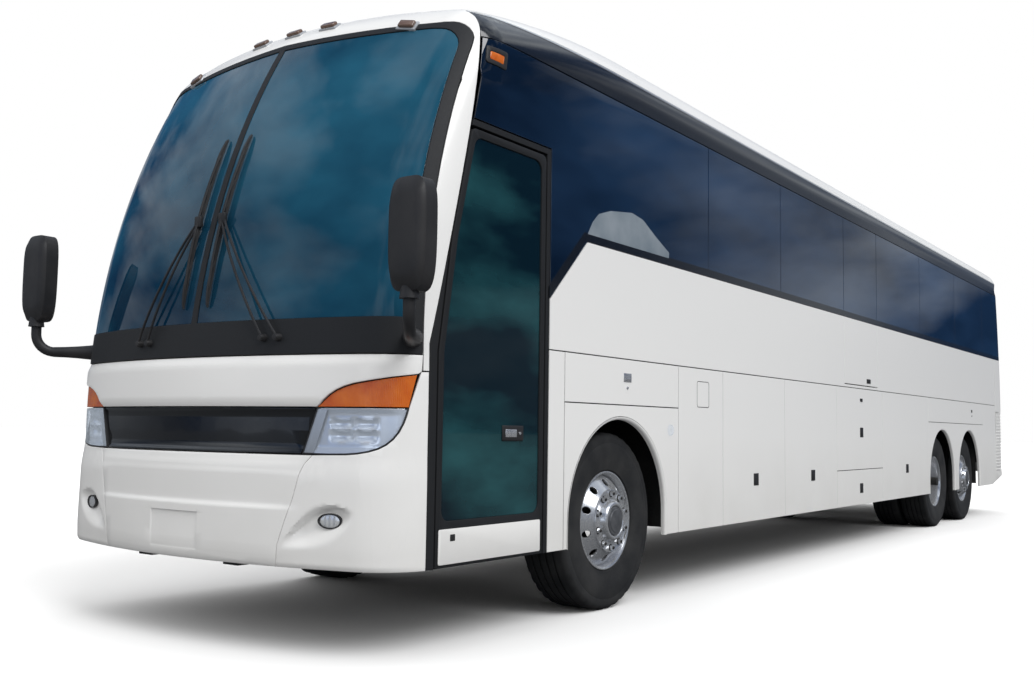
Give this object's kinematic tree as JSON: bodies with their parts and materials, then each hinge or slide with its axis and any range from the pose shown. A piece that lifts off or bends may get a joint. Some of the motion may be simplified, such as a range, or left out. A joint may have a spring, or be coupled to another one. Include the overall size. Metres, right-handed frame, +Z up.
{
  "type": "coach bus",
  "caption": "Long three-axle touring coach with a raked two-pane windscreen, front entry door, top-hung luggage flaps, wheels that roll and front wheels that steer.",
  "frame": {"origin": "on the ground below the middle of the coach, halfway between its front and rear bumpers", "axes": "+Z up, -Y towards the front bumper, +X towards the side with the entry door (the coach's left as shown)"},
  "size_m": [3.125, 13.716, 3.57],
  "materials": {
    "white_paint": "gloss",
    "black_trim": "gloss",
    "bumper_plastic": "gloss",
    "glass": "polished, tinted",
    "lamp_lens": "clear",
    "red_lens": "translucent",
    "amber_lens": "translucent",
    "wiper_black": "satin",
    "mirror_plastic": "fine grain",
    "frame_steel": "painted",
    "floor_covering": "ribbed",
    "seat_fabric": "woven",
    "dash_plastic": "fine grain",
    "engine_paint": "painted",
    "tyre_rubber": "matt",
    "polished_aluminium": "polished"
  },
  "bodies": {
    "coach": {"front_cap": "white_paint", "nose_panel": "white_paint", "bumper": "bumper_plastic", "screen_surround": "black_trim", "glazing": "glass", "grille": "black_trim", "headlamps": "lamp_lens", "signal_lamps": "amber_lens", "wipers": "wiper_black", "mirrors": "mirror_plastic", "roof": "white_paint", "black_trim": "black_trim", "side_wall_left": "white_paint", "side_wall_right": "white_paint", "rear_cap": "white_paint", "front_frame": "frame_steel", "luggage_box": "frame_steel", "rear_frame": "frame_steel", "driver_seat": "seat_fabric", "tail_lamps": "red_lens", "wheel_housings": "frame_steel", "cabin_floor": "floor_covering", "seats": "seat_fabric", "dashboard": "dash_plastic", "front_axle": "frame_steel", "drive_axle": "frame_steel", "tag_axle": "frame_steel", "engine": "engine_paint"},
    "knuckle_left": {"knuckle_left": "frame_steel"},
    "knuckle_right": {"knuckle_right": "frame_steel"},
    "front_wheel_assembly_left": {"front_tyre_left": "tyre_rubber", "front_wheel_left": "polished_aluminium"},
    "drive_wheel_assembly_left": {"drive_tyres_left": "tyre_rubber", "drive_wheels_left": "polished_aluminium"},
    "tag_wheel_assembly_left": {"tag_tyre_left": "tyre_rubber", "tag_wheel_left": "polished_aluminium"},
    "front_wheel_assembly_right": {"front_tyre_right": "tyre_rubber", "front_wheel_right": "polished_aluminium"},
    "drive_wheel_assembly_right": {"drive_tyres_right": "tyre_rubber", "drive_wheels_right": "polished_aluminium"},
    "tag_wheel_assembly_right": {"tag_tyre_right": "tyre_rubber", "tag_wheel_right": "polished_aluminium"},
    "door_arms": {"door_arms": "frame_steel"},
    "entry_door": {"entry_door": "black_trim", "entry_door_glass": "glass"},
    "lift_door": {"lift_door": "white_paint", "lift_door_glass": "glass"},
    "luggage_flap_left_1": {"luggage_flap_left_1": "white_paint"},
    "luggage_flap_left_2": {"luggage_flap_left_2": "white_paint"},
    "luggage_flap_left_3": {"luggage_flap_left_3": "white_paint"},
    "luggage_flap_left_4": {"luggage_flap_left_4": "white_paint"},
    "front_service_flap_left": {"front_service_flap_left": "white_paint"},
    "rear_service_flap_left": {"rear_service_flap_left": "white_paint"},
    "luggage_flap_right_1": {"luggage_flap_right_1": "white_paint"},
    "luggage_flap_right_2": {"luggage_flap_right_2": "white_paint"},
    "luggage_flap_right_3": {"luggage_flap_right_3": "white_paint"},
    "luggage_flap_right_4": {"luggage_flap_right_4": "white_paint"},
    "front_service_flap_right": {"front_service_flap_right": "white_paint"},
    "rear_service_flap_right": {"rear_service_flap_right": "white_paint"},
    "engine_door": {"engine_door": "white_paint"}
  },
  "joints": [
    {"name": "steer_left", "type": "hinge", "parent": "coach", "child": "knuckle_left", "pos_m": [0.86, -4.608, 0.535], "axis": [0, 0, 1], "range_deg": [-40, 40]},
    {"name": "steer_right", "type": "hinge", "parent": "coach", "child": "knuckle_right", "pos_m": [-0.86, -4.608, 0.535], "axis": [0, 0, 1], "range_deg": [-40, 40]},
    {"name": "roll_front_left", "type": "hinge", "parent": "knuckle_left", "child": "front_wheel_assembly_left", "pos_m": [1.06, -4.608, 0.535], "axis": [1, 0, 0], "continuous": true},
    {"name": "roll_drive_left", "type": "hinge", "parent": "coach", "child": "drive_wheel_assembly_left", "pos_m": [1.06, 3.194, 0.535], "axis": [1, 0, 0], "continuous": true},
    {"name": "roll_tag_left", "type": "hinge", "parent": "coach", "child": "tag_wheel_assembly_left", "pos_m": [1.06, 4.575, 0.535], "axis": [1, 0, 0], "continuous": true},
    {"name": "roll_front_right", "type": "hinge", "parent": "knuckle_right", "child": "front_wheel_assembly_right", "pos_m": [-1.06, -4.608, 0.535], "axis": [1, 0, 0], "continuous": true},
    {"name": "roll_drive_right", "type": "hinge", "parent": "coach", "child": "drive_wheel_assembly_right", "pos_m": [-1.06, 3.194, 0.535], "axis": [1, 0, 0], "continuous": true},
    {"name": "roll_tag_right", "type": "hinge", "parent": "coach", "child": "tag_wheel_assembly_right", "pos_m": [-1.06, 4.575, 0.535], "axis": [1, 0, 0], "continuous": true},
    {"name": "door_swing", "type": "hinge", "parent": "coach", "child": "door_arms", "pos_m": [1.205, -6.258, 1], "axis": [0, 0, -1], "range_deg": [0, 90]},
    {"name": "door_leaf", "type": "hinge", "parent": "door_arms", "child": "entry_door", "pos_m": [1.205, -5.788, 1], "axis": [0, 0, -1], "range_deg": [-90, 0]},
    {"name": "lift_door_hinge", "type": "hinge", "parent": "coach", "child": "lift_door", "pos_m": [1.2955, -0.408, 2], "axis": [0, 0, -1], "range_deg": [0, 105]},
    {"name": "luggage_flap_left_1_hinge", "type": "hinge", "parent": "coach", "child": "luggage_flap_left_1", "pos_m": [1.2955, -2.5205, 1.522], "axis": [0, -1, 0], "range_deg": [0, 85]},
    {"name": "luggage_flap_left_2_hinge", "type": "hinge", "parent": "coach", "child": "luggage_flap_left_2", "pos_m": [1.2955, -1.2785, 1.522], "axis": [0, -1, 0], "range_deg": [0, 85]},
    {"name": "luggage_flap_left_3_hinge", "type": "hinge", "parent": "coach", "child": "luggage_flap_left_3", "pos_m": [1.2955, 0.0605, 1.522], "axis": [0, -1, 0], "range_deg": [0, 85]},
    {"name": "luggage_flap_left_4_hinge", "type": "hinge", "parent": "coach", "child": "luggage_flap_left_4", "pos_m": [1.2955, 1.636, 1.522], "axis": [0, -1, 0], "range_deg": [0, 85]},
    {"name": "front_service_flap_left_hinge", "type": "hinge", "parent": "coach", "child": "front_service_flap_left", "pos_m": [1.2955, -4.5455, 1.522], "axis": [0, -1, 0], "range_deg": [0, 85]},
    {"name": "rear_service_flap_left_hinge", "type": "hinge", "parent": "coach", "child": "rear_service_flap_left", "pos_m": [1.2955, 3.972, 1.522], "axis": [0, -1, 0], "range_deg": [0, 85]},
    {"name": "luggage_flap_right_1_hinge", "type": "hinge", "parent": "coach", "child": "luggage_flap_right_1", "pos_m": [-1.2955, -2.5205, 1.522], "axis": [0, 1, 0], "range_deg": [0, 85]},
    {"name": "luggage_flap_right_2_hinge", "type": "hinge", "parent": "coach", "child": "luggage_flap_right_2", "pos_m": [-1.2955, -1.2785, 1.522], "axis": [0, 1, 0], "range_deg": [0, 85]},
    {"name": "luggage_flap_right_3_hinge", "type": "hinge", "parent": "coach", "child": "luggage_flap_right_3", "pos_m": [-1.2955, 0.0605, 1.522], "axis": [0, 1, 0], "range_deg": [0, 85]},
    {"name": "luggage_flap_right_4_hinge", "type": "hinge", "parent": "coach", "child": "luggage_flap_right_4", "pos_m": [-1.2955, 1.636, 1.522], "axis": [0, 1, 0], "range_deg": [0, 85]},
    {"name": "front_service_flap_right_hinge", "type": "hinge", "parent": "coach", "child": "front_service_flap_right", "pos_m": [-1.2955, -4.5455, 1.522], "axis": [0, 1, 0], "range_deg": [0, 85]},
    {"name": "rear_service_flap_right_hinge", "type": "hinge", "parent": "coach", "child": "rear_service_flap_right", "pos_m": [-1.2955, 3.972, 1.522], "axis": [0, 1, 0], "range_deg": [0, 85]},
    {"name": "engine_door_hinge", "type": "hinge", "parent": "coach", "child": "engine_door", "pos_m": [0, 6.845, 1.9], "axis": [1, 0, 0], "range_deg": [0, 85]}
  ],
  "couplings": [
    {"joint": "steer_right", "follows": "steer_left", "ratio": 1},
    {"joint": "door_leaf", "follows": "door_swing", "ratio": -1}
  ]
}
